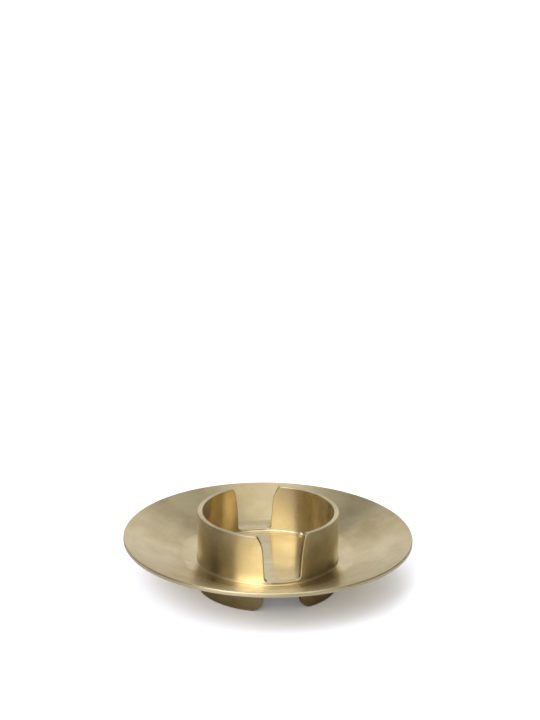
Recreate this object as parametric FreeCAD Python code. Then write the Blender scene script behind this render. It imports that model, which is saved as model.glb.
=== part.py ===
import FreeCAD, Part
import math
import os

# Brass pillar candle holder, in millimetres, +Z up. The origin is on the common axis of the
# rings, at table level under the feet, and the notches are on the Y axis.
#
# A spun dish with a flat middle and a conical brim carries two rings cut from one size of tube:
# a cup ring on top, which holds the candle, and a foot ring underneath. Each ring has two notches
# that face each other, open at the ring's free end. Four braze fillets join the rings to the dish.

# Driving dimensions
CUP_RADIUS = 27.5          # inside of the tube, for a candle of 50 mm with room to spare
TUBE_WALL = 2.0
CUP_HEIGHT = 20.7          # cup ring, from the dish to its rim
FOOT_HEIGHT = 10.2         # foot ring, from the table to the dish
DISH_RADIUS = 60.45        # outside of the dish's rim
DISH_SHEET = 1.8           # sheet that the dish is spun from
RIM_HEIGHT = 22.3          # top edge of the dish's rim above the table, before it is rounded
FLAT_RADIUS = 30.5         # flat middle of the dish, just larger than the rings
BEND_RADIUS = 18.0         # bend between the flat middle and the brim, on its upper side
RIM_ROUNDING = 0.5         # both edges of the dish's rim

SILL = 1.2                 # height of the strip of ring left between a notch and the dish
SILL_CORNER = 1.75         # rounded corners at the closed end of a notch
CUP_NOTCH_ANGLE = 14.8     # half the cup notch, in degrees about the axis, at its sill
CUP_NOTCH_LEAN = 0.06      # how much each side of it leans outwards, per millimetre of height
FOOT_NOTCH_ANGLE = 15.55   # half the foot notch, in degrees about the axis, with upright sides
FOOT_CORNER = 5.0          # the feet's rounded corners at the table

# The sides of a cup notch flare out in an arc up to the rim, and end in a small round corner.
# The hand-finished holder has two kinds of side, each facing its own kind across the cup.
WIDE_FLARE = {"height": 7.5, "radius": 14.0, "corner": 1.5}
SLIGHT_FLARE = {"height": 11.0, "radius": 60.0, "corner": 2.0}

EDGE_BREAK = 0.25          # sharp edges of the rings, rubbed down by hand

CUP_OUTER_BRAZE = 0.9      # height and width of each fillet
CUP_INNER_BRAZE = 0.4
FOOT_BRAZE = 1.0

# Worked out from them
TUBE_RADIUS = CUP_RADIUS + TUBE_WALL
DISH_BOTTOM = FOOT_HEIGHT
DISH_TOP = DISH_BOTTOM + DISH_SHEET
TOTAL_HEIGHT = DISH_TOP + CUP_HEIGHT

AXIS = FreeCAD.Vector(0, 0, 1)
CENTRE = FreeCAD.Vector(0, 0, 0)
TINY = 1e-4


def point(radius, height):
    """A point of an outline that is turned about the axis."""
    return FreeCAD.Vector(radius, 0, height)


def line(start, end):
    return Part.LineSegment(start, end).toShape()


def arc(centre, radius, start_angle, end_angle):
    """An arc in the outline's plane. Angles are in radians, from the +radius direction upwards."""
    def at(angle):
        return centre + point(radius * math.cos(angle), radius * math.sin(angle))

    return Part.Arc(at(start_angle), at((start_angle + end_angle) / 2), at(end_angle)).toShape()


def turned(edges):
    """The solid made by turning a closed outline about the axis."""
    return Part.Face(Part.Wire(edges)).revolve(CENTRE, AXIS, 360)


def export(shape, node):
    shape.exportStep("parts/" + node + ".step")


def make_dish():
    """One sheet: flat middle, bend, then a straight conical brim whose top edge meets the rim.

    The upper and lower sides are parallel, so both bends have one centre.
    The flat top is two faces, the candle's seat inside the braze and the ring's seat around it.
    """
    bend_centre = point(FLAT_RADIUS, DISH_TOP + BEND_RADIUS)
    across = DISH_RADIUS - FLAT_RADIUS
    above = bend_centre.z - RIM_HEIGHT
    brim_angle = math.asin(BEND_RADIUS / math.hypot(across, above)) - math.atan2(above, across)

    down = -math.pi / 2
    upper_bend = arc(bend_centre, BEND_RADIUS, down, down + brim_angle)
    lower_bend = arc(bend_centre, BEND_RADIUS + DISH_SHEET, down + brim_angle, down)
    upper_end = upper_bend.Vertexes[-1].Point
    lower_end = lower_bend.Vertexes[0].Point

    seat_radius = CUP_RADIUS - CUP_INNER_BRAZE
    rim_top = point(DISH_RADIUS, RIM_HEIGHT)
    rim_bottom = point(DISH_RADIUS, RIM_HEIGHT - DISH_SHEET / math.cos(brim_angle))
    dish = turned([
        line(point(0, DISH_BOTTOM), point(0, DISH_TOP)),
        line(point(0, DISH_TOP), point(seat_radius, DISH_TOP)),
        line(point(seat_radius, DISH_TOP), point(FLAT_RADIUS, DISH_TOP)),
        upper_bend,
        line(upper_end, rim_top),
        line(rim_top, rim_bottom),
        line(rim_bottom, lower_end),
        lower_bend,
        line(point(FLAT_RADIUS, DISH_BOTTOM), point(0, DISH_BOTTOM)),
    ])
    rim_edges = [
        edge for edge in dish.Edges
        if isinstance(edge.Curve, Part.Circle) and abs(edge.Curve.Radius - DISH_RADIUS) < TINY
    ]
    return dish.makeFillet(RIM_ROUNDING, rim_edges)


def cutter_profile(sill_height, free_end, lean, flare):
    """Half a notch seen along a radius: x = 0 is its side at the sill, and +x is into the ring."""
    outwards = math.copysign(1, free_end - sill_height)
    past_end = free_end + outwards * TUBE_WALL
    past_middle = -TUBE_RADIUS * math.sin(math.radians(FOOT_NOTCH_ANGLE))
    sill = FreeCAD.Vector(0, 0, sill_height)
    sill_middle = FreeCAD.Vector(past_middle, 0, sill_height)
    end_middle = FreeCAD.Vector(past_middle, 0, past_end)
    if flare is None:
        side_end = FreeCAD.Vector(0, 0, past_end)
        side = [line(sill, side_end)]
    else:
        flare_start = free_end - flare["height"]
        lean_angle = math.atan(lean)
        start = FreeCAD.Vector(lean * (flare_start - sill_height), 0, flare_start)
        centre = start + point(math.cos(lean_angle), -math.sin(lean_angle)) * flare["radius"]
        turn_end = math.asin((past_end - centre.z) / flare["radius"])
        flare_arc = arc(centre, flare["radius"], math.pi - lean_angle, math.pi - turn_end)
        side_end = flare_arc.Vertexes[-1].Point
        side = [line(sill, start), flare_arc]
    return Part.Face(Part.Wire(
        side + [line(side_end, end_middle), line(end_middle, sill_middle), line(sill_middle, sill)]
    ))


def side_cutter(profile, half_angle, hand):
    """Cuts one half of the front notch: hand is +1 for its +X side and -1 for its -X side.

    The profile is pushed along the radius on which the notch's side lies.
    """
    inside, outside = CUP_RADIUS - TUBE_WALL, TUBE_RADIUS + TUBE_WALL
    cutter = profile.translated(FreeCAD.Vector(0, -inside, 0)).extrude(
        FreeCAD.Vector(0, inside - outside, 0)
    )
    if hand < 0:
        cutter = cutter.mirror(CENTRE, FreeCAD.Vector(1, 0, 0))
    return cutter.rotated(CENTRE, AXIS, hand * half_angle)


def radial_edges(shape, height):
    """The short straight edges across the tube's wall at this height."""
    return [
        edge for edge in shape.Edges
        if isinstance(edge.Curve, Part.Line)
        and all(abs(vertex.Z - height) < TINY for vertex in edge.Vertexes)
    ]


def slotted_ring(seat, free_end, half_angle, sides):
    """A slice of tube from its seat on the dish to its free end, with its two notches.

    sides gives, for the front notch's -X side and +X side, its lean, flare and corner radius.
    The back notch is the front one after half a turn.
    """
    low, high = min(seat, free_end), max(seat, free_end)
    ring = Part.makeCylinder(TUBE_RADIUS, high - low, point(0, low), AXIS)
    ring = ring.cut(Part.makeCylinder(CUP_RADIUS, high - low, point(0, low), AXIS))

    sill_height = seat + math.copysign(SILL, free_end - seat)
    for hand, (lean, flare, corner) in zip((-1, 1), sides):
        cutter = side_cutter(cutter_profile(sill_height, free_end, lean, flare), half_angle, hand)
        for turn in (0, 180):
            ring = ring.cut(cutter.rotated(CENTRE, AXIS, turn))
    ring = ring.removeSplitter()

    ring = ring.makeFillet(SILL_CORNER, radial_edges(ring, sill_height))
    for hand, (lean, flare, corner) in zip((-1, 1), sides):
        # A free corner is on the front notch's side of this hand, or opposite it on the back one.
        corners = [
            edge for edge in radial_edges(ring, free_end)
            if edge.CenterOfMass.x * edge.CenterOfMass.y * hand < 0
        ]
        ring = ring.makeFillet(corner, corners)

    # Every edge but those at the seat is broken, because the seat's are under the braze.
    sharp = [
        edge for edge in ring.Edges
        if not all(abs(vertex.Z - seat) < TINY for vertex in edge.Vertexes)
        and not on_one_smooth_face(ring, edge)
    ]
    return ring.makeFillet(EDGE_BREAK, sharp)


def on_one_smooth_face(shape, edge):
    """Is this edge only a seam, or a line where two faces run on smoothly into each other?"""
    faces = shape.ancestorsOfType(edge, Part.Face)
    if len(faces) < 2:
        return True
    middle = edge.valueAt((edge.FirstParameter + edge.LastParameter) / 2)
    first, second = (face.normalAt(*face.Surface.parameter(middle)) for face in faces[:2])
    return first.cross(second).Length < 0.05


def braze_fillet(wall_radius, wall_side, sheet_height, sheet_side, size):
    """A ring of filler in the corner of a tube's wall and the dish, dressed to a flat bevel.

    wall_side is +1 outside the tube and -1 inside it; sheet_side is +1 above the dish, -1 below.
    """
    corner = point(wall_radius, sheet_height)
    on_sheet = corner + point(wall_side * size, 0)
    on_wall = corner + point(0, sheet_side * size)
    return turned([line(corner, on_sheet), line(on_sheet, on_wall), line(on_wall, corner)])


os.makedirs("parts", exist_ok=True)

export(make_dish(), "dish")
cup_sides = [(CUP_NOTCH_LEAN, flare, flare["corner"]) for flare in (WIDE_FLARE, SLIGHT_FLARE)]
foot_sides = [(0, None, FOOT_CORNER)] * 2
export(slotted_ring(DISH_TOP, TOTAL_HEIGHT, CUP_NOTCH_ANGLE, cup_sides), "cup_ring")
export(slotted_ring(DISH_BOTTOM, 0, FOOT_NOTCH_ANGLE, foot_sides), "foot_ring")
export(braze_fillet(TUBE_RADIUS, 1, DISH_TOP, 1, CUP_OUTER_BRAZE), "cup_outer_braze")
export(braze_fillet(CUP_RADIUS, -1, DISH_TOP, 1, CUP_INNER_BRAZE), "cup_inner_braze")
export(braze_fillet(TUBE_RADIUS, 1, DISH_BOTTOM, -1, FOOT_BRAZE), "foot_outer_braze")
export(braze_fillet(CUP_RADIUS, -1, DISH_BOTTOM, -1, FOOT_BRAZE), "foot_inner_braze")
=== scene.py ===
import math
import random
from collections import namedtuple
from dataclasses import dataclass

import bpy
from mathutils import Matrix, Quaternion, Vector


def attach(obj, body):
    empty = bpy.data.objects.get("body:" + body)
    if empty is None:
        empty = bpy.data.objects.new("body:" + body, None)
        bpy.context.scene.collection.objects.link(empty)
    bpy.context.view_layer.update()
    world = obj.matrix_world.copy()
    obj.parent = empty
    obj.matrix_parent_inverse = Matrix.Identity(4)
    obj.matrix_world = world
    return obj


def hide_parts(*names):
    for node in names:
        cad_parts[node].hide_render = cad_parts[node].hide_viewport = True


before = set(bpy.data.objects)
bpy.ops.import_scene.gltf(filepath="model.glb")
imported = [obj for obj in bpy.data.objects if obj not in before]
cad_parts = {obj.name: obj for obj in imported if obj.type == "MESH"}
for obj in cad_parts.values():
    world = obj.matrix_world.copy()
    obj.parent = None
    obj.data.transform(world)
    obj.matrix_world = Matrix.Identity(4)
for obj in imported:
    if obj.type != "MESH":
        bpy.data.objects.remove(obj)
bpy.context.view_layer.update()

MM = 0.001
WHITE = (1.0, 1.0, 1.0, 1.0)


# ---------------------------------------------------------------- node helpers

# The first input, the second input and the output of a Mix node, for each kind of value.
MIX_SOCKETS = {"RGBA": (6, 7, 2), "VECTOR": (4, 5, 1), "FLOAT": (2, 3, 0)}
NOISE_SPAN = (0.3, 0.7)            # most of a noise texture's values lie between these
NOISE_MIDDLE = 0.5


class Graph:
    """A node tree with short calls for the nodes that the materials and the world share."""

    def __init__(self, tree):
        self.tree = tree
        tree.nodes.clear()

    def node(self, kind, **settings):
        made = self.tree.nodes.new(kind)
        for name, value in settings.items():
            setattr(made, name, value)
        return made

    def feed(self, socket, value):
        """Sets an input to a constant, or links it to another node's output."""
        if isinstance(value, bpy.types.NodeSocket):
            self.tree.links.new(value, socket)
        else:
            socket.default_value = value

    def math(self, operation, first, second=0.0):
        made = self.node("ShaderNodeMath", operation=operation)
        self.feed(made.inputs[0], first)
        self.feed(made.inputs[1], second)
        return made.outputs[0]

    def total(self, first, *others):
        for other in others:
            first = self.math("ADD", first, other)
        return first

    def dot(self, first, second):
        made = self.node("ShaderNodeVectorMath", operation="DOT_PRODUCT")
        self.feed(made.inputs[0], first)
        self.feed(made.inputs[1], second)
        return made.outputs["Value"]

    def normalize(self, vector):
        made = self.node("ShaderNodeVectorMath", operation="NORMALIZE")
        self.feed(made.inputs[0], vector)
        return made.outputs["Vector"]

    def scale(self, vector, factor):
        made = self.node("ShaderNodeVectorMath", operation="SCALE")
        self.feed(made.inputs[0], vector)
        self.feed(made.inputs["Scale"], factor)
        return made.outputs["Vector"]

    def join(self, x, y, z):
        made = self.node("ShaderNodeCombineXYZ")
        for socket, value in zip(made.inputs, (x, y, z)):
            self.feed(socket, value)
        return made.outputs[0]

    def split(self, vector):
        made = self.node("ShaderNodeSeparateXYZ")
        self.feed(made.inputs[0], vector)
        return made.outputs

    def remap(self, value, low, high, to_low=0.0, to_high=1.0, smooth=False):
        """Maps low..high to to_low..to_high, and holds what lies outside at the ends."""
        kind = "SMOOTHSTEP" if smooth else "LINEAR"
        made = self.node("ShaderNodeMapRange", interpolation_type=kind)
        for socket, given in zip(made.inputs, (value, low, high, to_low, to_high)):
            self.feed(socket, given)
        return made.outputs[0]

    def mix(self, factor, first, second, kind="RGBA"):
        """Blends two colours, or two vectors or numbers when kind says so."""
        made = self.node("ShaderNodeMix", data_type=kind)
        first_socket, second_socket, result = MIX_SOCKETS[kind]
        self.feed(made.inputs[0], factor)
        self.feed(made.inputs[first_socket], first)
        self.feed(made.inputs[second_socket], second)
        return made.outputs[result]

    def noise(self, vector, scale, detail, roughness):
        made = self.node("ShaderNodeTexNoise")
        self.feed(made.inputs["Vector"], vector)
        self.feed(made.inputs["Scale"], scale)
        self.feed(made.inputs["Detail"], detail)
        self.feed(made.inputs["Roughness"], roughness)
        return made.outputs[0]

    def surface(self, output_kind, shader):
        """Makes the tree's output show a shader."""
        output = self.node(output_kind)
        self.feed(output.inputs["Surface"], shader.outputs[0])


def new_material(name):
    material = bpy.data.materials.new(name)
    material.use_nodes = True
    return material, Graph(material.node_tree)


# ---------------------------------------------------------------- sizes from the frame

def reach_of(node):
    """The greatest radius of a CAD node, and its lowest and highest point."""
    points = [vertex.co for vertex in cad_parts[node].data.vertices]
    return (
        max(math.hypot(point.x, point.y) for point in points),
        min(point.z for point in points),
        max(point.z for point in points),
    )


RIM_RADIUS, DISH_BOTTOM, _ = reach_of("dish")
TUBE_RADIUS, DISH_TOP, _ = reach_of("cup_ring")
CUP_RADIUS, _, _ = reach_of("cup_inner_braze")
FLAT_RADIUS = TUBE_RADIUS + 1 * MM         # the dish is flat as far as this
SEAT_RADIUS = CUP_RADIUS - 0.4 * MM        # the candle's seat ends here


# ---------------------------------------------------------------- brass

# Colours.
FRESH = (0.855, 0.72, 0.44, 1)
TARNISHED = (0.68, 0.54, 0.28, 1)
# the paler brass of rubbed edges: partly wear, partly a painted highlight for the light the edges
# catch
WORN_AND_HIGHLIT = (0.93, 0.79, 0.48, 1)
OXIDE = (0.35, 0.25, 0.12, 1)
# the feet's darker brass is painted shade, for their place under the dish
SHADED_FOOT_FRESH = (0.62, 0.495, 0.25, 1)
SHADED_FOOT_TARNISHED = (0.455, 0.325, 0.15, 1)

# How fine each mark is: waves, lines or cells in a metre.
WAVES_PER_METRE = 60.0             # shallow dents
CLOUDS_PER_METRE = 75.0            # patches of tarnish
SPECK_CELLS_PER_METRE = 230.0      # each cell holds one speck of oxide at most
MOTTLE_PER_METRE = 420.0           # small unevenness of the tarnish
BROAD_LINES_PER_METRE = 900.0
FINE_LINES_PER_METRE = 2600.0
RUBBED_ALONG_PER_METRE = 80.0      # the lines rubbed into the seat are long from side to side
RUBBED_ACROSS_PER_METRE = 1500.0

# Lines round the axis break up sooner the greater these are.
BROAD_LINE_BREAKS = 1.6
FINE_LINE_BREAKS = 3.0

# Tarnish, from 0, fresh, to 1, tarnished.
CLOUD_SPAN = (0.38, 0.66)          # the clouds' noise at no tarnish and at most
CLOUD_TARNISH = 0.75
LINE_SPAN = (0.35, 0.70)           # the broad lines' noise at the least and most tarnish
LINE_TARNISH = (-0.12, 0.28)
MOTTLE_TARNISH = (-0.08, 0.08)

# Specks of oxide.
SPECK_SPAN = (0.72, 1.0)           # only cells whose random pick lies in this have a speck
LARGEST_SPECK = 0.13               # its radius, as a share of a cell
SPECK_STRENGTH = 0.22

# Edges that hands rub are paler in colour and a little duller. The paler colour is partly wear and
# partly a painted highlight, for the light that the broken edges and the dish's rim catch.
RUBBED_RIM = (0.8 * MM, 0.2 * MM)  # how far inside the rim the rubbing starts and is full
EDGE_SLANT = (0.03, 0.16)          # how slanting a face is where rubbing starts and is full
WEAR_AND_HIGHLIGHT_SPAN = (0.25, 0.60)           # the mottle's noise where wear shows least and most
LEAST_WEAR_AND_HIGHLIGHT = 0.85

# Roughness that each mark adds or takes away.
CLOUD_ROUGHNESS = (-0.025, 0.04)
FINE_LINE_ROUGHNESS = 0.03
BROAD_LINE_ROUGHNESS = 0.025
WORN_ROUGHNESS = 0.12
FLAT_SMOOTHNESS = 0.12             # the dish's flat middle is smoother than its brim

BRIM_START = FLAT_RADIUS + 1.5 * MM
BRIM_FULL = FLAT_RADIUS + 10 * MM
SEAT_BLEND = 3 * MM                # the seat's lines fade into the round ones over this
BROAD_LINE_DEPTH = 0.8             # against the depth of a fine line
COAT_ROUGHNESS = 0.25
QUARTER_TURN = 0.25                # makes highlights long across the brushed lines, not along


@dataclass
class Finish:
    """What sets the brass of one piece apart from another's. Depths are in metres."""

    roughness: float
    anisotropy: float
    coat: float                    # a thin pale sheen, standing for the satin surface
    line_depth: float
    wave_depth: float
    worn_and_highlit_edges: str                # "rim" for the dish's, "all" for a ring's, or "none"
    line_contrast: float = 1.0
    fresh: tuple = FRESH
    tarnished: tuple = TARNISHED


Place = namedtuple("Place", "point x y radius outwards along_profile")
Marks = namedtuple("Marks", "fine broad clouds mottle waves")


def find_place(graph):
    """Where a point of the surface lies, measured from the holder's axis."""
    point = graph.node("ShaderNodeTexCoord").outputs["Object"]
    x, y, z = graph.split(point)
    level = graph.join(x, y, 0.0)
    radius = graph.math("SQRT", graph.dot(level, level))
    return Place(point, x, y, radius, graph.normalize(level), graph.total(radius, z))


def round_lines(graph, place, breaks, per_metre):
    """Lines that run round the axis, as brushing on a lathe leaves them."""
    across = graph.math("MULTIPLY", place.along_profile, per_metre)
    ring_x, ring_y, _ = graph.split(graph.scale(place.outwards, breaks))
    spot = graph.join(ring_x, ring_y, across)
    return graph.noise(spot, scale=1.0, detail=3.0, roughness=0.6)


def straight_lines(graph, place):
    """Lines that run from side to side, as a candle's foot rubs them into the seat."""
    along = graph.math("MULTIPLY", place.x, RUBBED_ALONG_PER_METRE)
    across = graph.math("MULTIPLY", place.y, RUBBED_ACROSS_PER_METRE)
    return graph.noise(graph.join(along, across, 0.0), scale=1.0, detail=2.0, roughness=0.5)


def make_marks(graph, place):
    """The noises that colour, roughness and height are made from."""
    waves = graph.noise(place.point, WAVES_PER_METRE, detail=2.0, roughness=0.45)
    return Marks(
        fine=round_lines(graph, place, FINE_LINE_BREAKS, FINE_LINES_PER_METRE),
        broad=round_lines(graph, place, BROAD_LINE_BREAKS, BROAD_LINES_PER_METRE),
        clouds=graph.noise(place.point, CLOUDS_PER_METRE, detail=4.0, roughness=0.55),
        mottle=graph.noise(place.point, MOTTLE_PER_METRE, detail=3.0, roughness=0.6),
        waves=graph.math("SUBTRACT", waves, NOISE_MIDDLE),
    )


def tarnish_colour(graph, marks, finish):
    """Tarnish gathers in clouds and along the broad lines."""
    least, most = (finish.line_contrast * amount for amount in LINE_TARNISH)
    tarnish = graph.total(
        graph.remap(marks.clouds, *CLOUD_SPAN, 0.0, CLOUD_TARNISH),
        graph.remap(marks.broad, *LINE_SPAN, least, most),
        graph.remap(marks.mottle, *NOISE_SPAN, *MOTTLE_TARNISH),
    )
    return graph.mix(graph.remap(tarnish, 0.0, 1.0), finish.fresh, finish.tarnished)


def add_specks(graph, place, colour):
    """Small dark specks of oxide, each in its own cell."""
    cells = graph.node("ShaderNodeTexVoronoi")
    graph.feed(cells.inputs["Vector"], place.point)
    graph.feed(cells.inputs["Scale"], SPECK_CELLS_PER_METRE)
    pick = graph.split(cells.outputs["Color"])[0]
    size = graph.remap(pick, *SPECK_SPAN, 0.0, LARGEST_SPECK)
    speck = graph.math("LESS_THAN", cells.outputs["Distance"], size)
    return graph.mix(graph.math("MULTIPLY", speck, SPECK_STRENGTH), colour, OXIDE)


def find_wear_and_highlight(graph, place, marks, edges):
    """How worn each point is, from 0 to 1, which also paints a highlight there: only the edges are,
    and not quite evenly.
    """
    if edges == "none":
        return 0.0
    if edges == "rim":
        start, full = (RIM_RADIUS - inside for inside in RUBBED_RIM)
        wear_and_highlight = graph.remap(place.radius, start, full, smooth=True)
    else:
        # A ring's edge is where a face looks neither straight out nor straight up.
        normal = graph.node("ShaderNodeTexCoord").outputs["Normal"]
        facing_out = graph.math("ABSOLUTE", graph.dot(normal, place.outwards))
        slant = graph.math("MULTIPLY", facing_out, graph.math("SUBTRACT", 1.0, facing_out))
        wear_and_highlight = graph.remap(slant, *EDGE_SLANT, smooth=True)
    return graph.math("MULTIPLY", wear_and_highlight, graph.remap(marks.mottle, *WEAR_AND_HIGHLIGHT_SPAN, LEAST_WEAR_AND_HIGHLIGHT, 1.0))


def find_roughness(graph, marks, wear_and_highlight, finish):
    """The finish's own roughness, made uneven by the marks and greater where it is worn."""
    fine = finish.line_contrast * FINE_LINE_ROUGHNESS
    broad = finish.line_contrast * BROAD_LINE_ROUGHNESS
    return graph.total(
        finish.roughness,
        graph.remap(marks.clouds, *NOISE_SPAN, *CLOUD_ROUGHNESS),
        graph.remap(marks.fine, *NOISE_SPAN, -fine, fine),
        graph.remap(marks.broad, *NOISE_SPAN, -broad, broad),
        graph.math("MULTIPLY", wear_and_highlight, WORN_ROUGHNESS),
    )


def bump_from(graph, marks, finish):
    """The lines and the waves as a bump, whose height is in metres."""
    height = graph.total(
        graph.math("MULTIPLY", marks.fine, finish.line_depth),
        graph.math("MULTIPLY", marks.broad, finish.line_depth * BROAD_LINE_DEPTH),
        graph.math("MULTIPLY", marks.waves, finish.wave_depth),
    )
    bump = graph.node("ShaderNodeBump")
    graph.feed(bump.inputs["Strength"], 1.0)
    graph.feed(bump.inputs["Distance"], 1.0)
    graph.feed(bump.inputs["Height"], height)
    return bump.outputs[0]


def brass(name, finish, on_dish=False):
    """Brass that is brushed round the holder's axis, with a thin uneven tarnish.

    On the dish, the flat middle is smoother and has no waves, and the candle's seat is rubbed
    straight across.
    """
    material, graph = new_material(name)
    place = find_place(graph)
    marks = make_marks(graph, place)
    tangent = graph.node("ShaderNodeTangent", direction_type="RADIAL", axis="Z").outputs[0]
    smoother = 0.0
    if on_dish:
        off_seat = graph.remap(place.radius, SEAT_RADIUS - SEAT_BLEND, SEAT_RADIUS, smooth=True)
        brim = graph.remap(place.radius, BRIM_START, BRIM_FULL, smooth=True)
        marks = marks._replace(
            fine=graph.mix(off_seat, straight_lines(graph, place), marks.fine, kind="FLOAT"),
            broad=graph.mix(off_seat, NOISE_MIDDLE, marks.broad, kind="FLOAT"),
            waves=graph.math("MULTIPLY", marks.waves, brim),
        )
        tangent = graph.mix(off_seat, (1.0, 0.0, 0.0), tangent, kind="VECTOR")
        smoother = graph.math("MULTIPLY", graph.math("SUBTRACT", 1.0, brim), FLAT_SMOOTHNESS)
    wear_and_highlight = find_wear_and_highlight(graph, place, marks, finish.worn_and_highlit_edges)
    colour = add_specks(graph, place, tarnish_colour(graph, marks, finish))
    rough = find_roughness(graph, marks, wear_and_highlight, finish)

    shader = graph.node("ShaderNodeBsdfPrincipled")
    inputs = {
        "Metallic": 1.0,
        "Anisotropic": finish.anisotropy,
        "Anisotropic Rotation": QUARTER_TURN,
        "Coat Weight": finish.coat,
        "Coat Roughness": COAT_ROUGHNESS,
        # the edges get the paler colour: wear, and a painted highlight
        "Base Color": graph.mix(wear_and_highlight, colour, WORN_AND_HIGHLIT),
        "Roughness": graph.math("SUBTRACT", rough, smoother),
        "Normal": bump_from(graph, marks, finish),
        "Tangent": tangent,
    }
    for socket, value in inputs.items():
        graph.feed(shader.inputs[socket], value)
    graph.surface("ShaderNodeOutputMaterial", shader)
    return material


def dish_brass():
    finish = Finish(roughness=0.32, anisotropy=0.82, coat=0.30, line_depth=0.05e-6,
                    wave_depth=280e-6, worn_and_highlit_edges="rim", line_contrast=0.4)
    return brass("dish_brass", finish, on_dish=True)


def tube_brass():
    finish = Finish(roughness=0.31, anisotropy=0.93, coat=0.40, line_depth=0.03e-6,
                    wave_depth=6e-6, worn_and_highlit_edges="all", line_contrast=0.4)
    return brass("tube_brass", finish)


def shaded_foot_brass():
    """The feet are darker than the rest: painted shade, for their place in the dish's shadow."""
    finish = Finish(roughness=0.34, anisotropy=0.90, coat=0.40, line_depth=0.2e-6,
                    wave_depth=30e-6, worn_and_highlit_edges="all",
                    fresh=SHADED_FOOT_FRESH, tarnished=SHADED_FOOT_TARNISHED)
    return brass("shaded_foot_brass", finish)


def filler_brass():
    """The filler metal of the joints, which isn't brushed."""
    finish = Finish(roughness=0.30, anisotropy=0.0, coat=0.40, line_depth=0.0,
                    wave_depth=60e-6, worn_and_highlit_edges="none", line_contrast=0.3)
    return brass("filler", finish)


def dress(node, material):
    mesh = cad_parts[node].data
    mesh.materials.clear()
    mesh.materials.append(material)


dress("dish", dish_brass())
dress("cup_ring", tube_brass())
dress("foot_ring", shaded_foot_brass())


# ---------------------------------------------------------------- braze

ROUND_STEPS = 360
CURVE_STEPS = 8
BURIED = 0.05 * MM                 # how far a fillet's hidden sides lie inside ring and dish
UNEVENNESS = 0.25                  # how far a fillet's size wanders, as a share of it
WAVE_TURNS = (2, 5, 9)             # the waves of that wandering in one turn of the joint
WAVE_SIZES = (0.2, 0.5)            # the least and greatest part that a wave has in it
FOOT_FILLET = 1.0 * MM

# Lumps of filler: where, in degrees round the axis from +X, how wide in degrees, how high.
CUP_LUMPS = ((47.0, 1.8, 0.4 * MM), (41.5, 1.5, 0.25 * MM))


def uneven(rng, middle, lumps):
    """A length that wanders gently round the joint, and swells at each lump of filler."""
    waves = [(turns, rng.uniform(0, math.tau), rng.uniform(*WAVE_SIZES)) for turns in WAVE_TURNS]

    def at(angle):
        wandering = sum(size * math.sin(turns * angle + phase) for turns, phase, size in waves)
        length = middle + UNEVENNESS * middle * wandering
        for place, width, height in lumps:
            length += height * math.exp(-((math.degrees(angle) - place) / width) ** 2)
        return length

    return at


def section(wall_radius, outside, dish_level, above, up, out):
    """A fillet's section as radius and height: its hollow face, then its hidden sides."""
    points = []
    for part in range(CURVE_STEPS + 1):
        bend = math.pi / 2 * part / CURVE_STEPS
        radius = wall_radius + outside * out * (1 - math.cos(bend))
        points.append((radius, dish_level + above * up * (1 - math.sin(bend))))
    buried_radius = wall_radius - outside * BURIED
    buried_level = dish_level - above * BURIED
    points.append((wall_radius + outside * out, buried_level))
    points.append((buried_radius, buried_level))
    points.append((buried_radius, dish_level + above * up))
    return points


def ring_faces(size, reverse):
    """The faces of a closed ring of sections that have size points each."""
    faces = []
    for step in range(ROUND_STEPS):
        here = step * size
        there = (step + 1) % ROUND_STEPS * size
        for part in range(size):
            after = (part + 1) % size
            face = (here + part, there + part, there + after, here + after)
            faces.append(face[::-1] if reverse else face)
    return faces


def make_fillet(node, wall_radius, outside, dish_level, above, climb, reach, seed, lumps=()):
    """A hollow fillet of filler metal in the corner between a ring's wall and the dish.

    It climbs the wall and reaches along the dish by lengths that vary round the joint. outside
    and above are 1 or -1: the side of the wall, and of the dish, that it is on.
    """
    rng = random.Random(seed)
    climb_at = uneven(rng, climb, lumps)
    reach_at = uneven(rng, reach, lumps)
    points = []
    for step in range(ROUND_STEPS):
        angle = math.tau * step / ROUND_STEPS
        here = section(wall_radius, outside, dish_level, above, climb_at(angle), reach_at(angle))
        points += [(radius * math.cos(angle), radius * math.sin(angle), z) for radius, z in here]
    size = len(points) // ROUND_STEPS
    mesh = bpy.data.meshes.new(node + "_fillet")
    mesh.from_pydata(points, [], ring_faces(size, reverse=outside * above > 0))
    for index, face in enumerate(mesh.polygons):
        face.use_smooth = index % size < CURVE_STEPS
    mesh.materials.append(filler)
    fillet = bpy.data.objects.new(node + "_fillet", mesh)
    bpy.context.scene.collection.objects.link(fillet)
    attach(fillet, "root")
    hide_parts(node)


filler = filler_brass()
make_fillet("cup_outer_braze", TUBE_RADIUS, 1, DISH_TOP, 1, climb=0.95 * MM, reach=0.35 * MM, seed=3)
make_fillet("cup_inner_braze", CUP_RADIUS, -1, DISH_TOP, 1, climb=0.9 * MM, reach=1.4 * MM, seed=4,
            lumps=CUP_LUMPS)
make_fillet("foot_outer_braze", TUBE_RADIUS, 1, DISH_BOTTOM, -1, FOOT_FILLET, FOOT_FILLET, seed=5)
make_fillet("foot_inner_braze", CUP_RADIUS, -1, DISH_BOTTOM, -1, FOOT_FILLET, FOOT_FILLET, seed=6)


# ---------------------------------------------------------------- stage

FLOOR_SIZE = 12.0
FLOOR_ALBEDO = 0.75
FLOOR_PRINT = (1.78, 1.81, 1.89)   # the floor as the camera sees it, exposed up to white
FLOOR_GLOW = (0.145, 0.15, 0.16, 1)    # a faint glow of the floor for the camera: painted light that lifts its shadow to a soft grey
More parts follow.
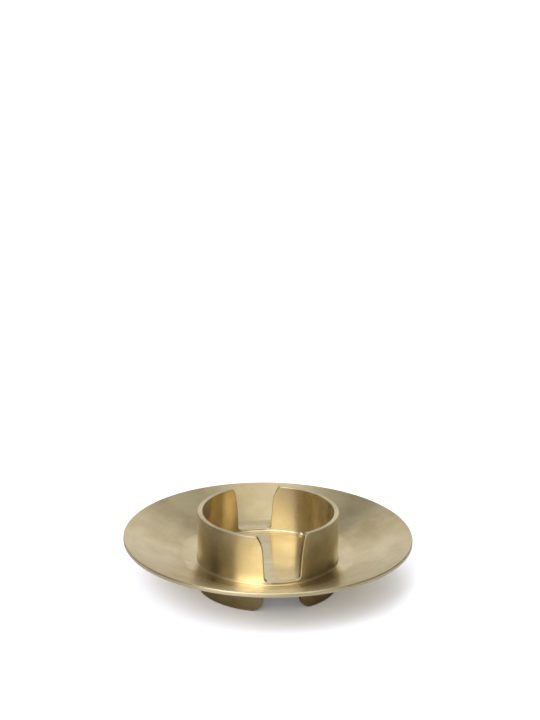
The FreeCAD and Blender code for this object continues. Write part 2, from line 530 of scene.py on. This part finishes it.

# Where a soft box hangs, in degrees. Its half width, half height and soft edge are shares of
# its distance from the holder.
SoftBox = namedtuple("SoftBox", "azimuth elevation half_width half_height edge radiance")
SOFT_BOXES = {
    "key": SoftBox(-42, 42, 0.36, 0.34, 0.06, 3.15),
    "front_low": SoftBox(-12, 14, 0.16, 0.10, 0.08, 0.8),
    "front_high": SoftBox(-8, 66, 0.20, 0.16, 0.12, 0.8),
    "front_right": SoftBox(22, 50, 0.16, 0.36, 0.08, 0.9),
    "right_front": SoftBox(42, 60, 0.12, 0.32, 0.08, 1.4),
    "right": SoftBox(58, 60, 0.12, 0.32, 0.08, 0.35),
    "far_right": SoftBox(100, 55, 0.30, 0.35, 0.20, 0.05),
    "zenith": SoftBox(-12, 90, 0.22, 0.22, 0.20, 2.1),
    "back": SoftBox(166, 24, 0.50, 0.38, 0.15, 0.68),
    "back_high": SoftBox(160, 58, 0.40, 0.24, 0.15, 0.42),
    "back_left": SoftBox(-145, 25, 0.30, 0.30, 0.20, 0.20),
    "left": SoftBox(-85, 50, 0.25, 0.40, 0.20, 0.35),
}
KEY_TINT = (1.0, 1.035, 1.16, 1.0)     # the key is a little cooler than the other soft boxes
FILL = 0.03                        # the studio's own dim light
LEAST_DEPTH = 1e-3                 # keeps a soft box from also showing on its opposite side

# Angles in degrees, the distance from the holder's middle in metres, the lens in millimetres.
CAMERA_AZIMUTH = -12.5
CAMERA_ELEVATION = 23.96
CAMERA_DISTANCE = 0.849
CAMERA_PITCH = 17.61               # less than the elevation, so the holder sits low in the view
CAMERA_YAW = 0.013
CAMERA_ROLL = 0.8
CAMERA_LENS = 100.0


def direction(azimuth, elevation):
    """The way to a point of the studio: azimuth 0 is the front, -Y, and +90 is the right, +X."""
    a, e = math.radians(azimuth), math.radians(elevation)
    return Vector((math.sin(a) * math.cos(e), -math.cos(a) * math.cos(e), math.sin(e)))


def make_floor():
    bpy.ops.mesh.primitive_plane_add(size=FLOOR_SIZE, location=(0, 0, 0))
    floor = bpy.context.object
    floor.name = "floor"
    material, graph = new_material("floor_white")
    seen = graph.node("ShaderNodeLightPath").outputs["Is Camera Ray"]
    shades = [graph.remap(seen, 0.0, 1.0, FLOOR_ALBEDO, shade) for shade in FLOOR_PRINT]
    diffuse = graph.node("ShaderNodeBsdfDiffuse")
    graph.feed(diffuse.inputs["Color"], graph.join(*shades))
    # the floor glows faintly for the camera: painted light that lifts its shadow
    glow = graph.node("ShaderNodeEmission")
    graph.feed(glow.inputs["Color"], FLOOR_GLOW)
    graph.feed(glow.inputs["Strength"], seen)
    both = graph.node("ShaderNodeAddShader")
    graph.feed(both.inputs[0], diffuse.outputs[0])
    graph.feed(both.inputs[1], glow.outputs[0])
    graph.surface("ShaderNodeOutputMaterial", both)
    floor.data.materials.append(material)


def light_of(graph, way, box):
    """What one soft box, a flat panel with soft edges, sends from the way looked along."""
    middle = direction(box.azimuth, box.elevation)
    right = direction(box.azimuth + 90, 0)
    up = right.cross(-middle)
    depth = graph.math("MAXIMUM", graph.dot(way, tuple(middle)), LEAST_DEPTH)
    light = box.radiance
    for axis, half in ((right, box.half_width), (up, box.half_height)):
        off = graph.math("ABSOLUTE", graph.math("DIVIDE", graph.dot(way, tuple(axis)), depth))
        inside = graph.remap(off, half - box.edge / 2, half + box.edge / 2, 1.0, 0.0, smooth=True)
        light = graph.math("MULTIPLY", light, inside)
    return light


def make_world():
    """A dark studio with soft boxes far away. The camera sees plain white behind the floor."""
    world = bpy.data.worlds.new("studio")
    bpy.context.scene.world = world
    world.use_nodes = True
    graph = Graph(world.node_tree)
    way = graph.node("ShaderNodeTexCoord").outputs["Generated"]
    seen = graph.node("ShaderNodeLightPath").outputs["Is Camera Ray"]
    lights = {name: light_of(graph, way, box) for name, box in SOFT_BOXES.items()}
    light = graph.total(FILL, *lights.values())
    tint = graph.mix(graph.math("DIVIDE", lights["key"], light), WHITE, KEY_TINT)
    background = graph.node("ShaderNodeBackground")
    graph.feed(background.inputs["Color"], graph.mix(seen, tint, WHITE))
    graph.feed(background.inputs["Strength"], graph.mix(seen, light, 1.0, kind="FLOAT"))
    graph.surface("ShaderNodeOutputWorld", background)


def make_camera():
    data = bpy.data.cameras.new("camera")
    data.lens = CAMERA_LENS
    data.clip_start = 0.01
    data.clip_end = 50.0
    camera = bpy.data.objects.new("camera", data)
    bpy.context.scene.collection.objects.link(camera)
    camera.location = direction(CAMERA_AZIMUTH, CAMERA_ELEVATION) * CAMERA_DISTANCE
    sight = -direction(CAMERA_AZIMUTH + CAMERA_YAW, CAMERA_PITCH)
    roll = Quaternion((0, 0, 1), math.radians(CAMERA_ROLL))
    camera.rotation_mode = "QUATERNION"
    camera.rotation_quaternion = sight.to_track_quat("-Z", "Y") @ roll
    bpy.context.scene.camera = camera


make_floor()
make_world()
make_camera()
bpy.context.scene.view_settings.view_transform = "Standard"
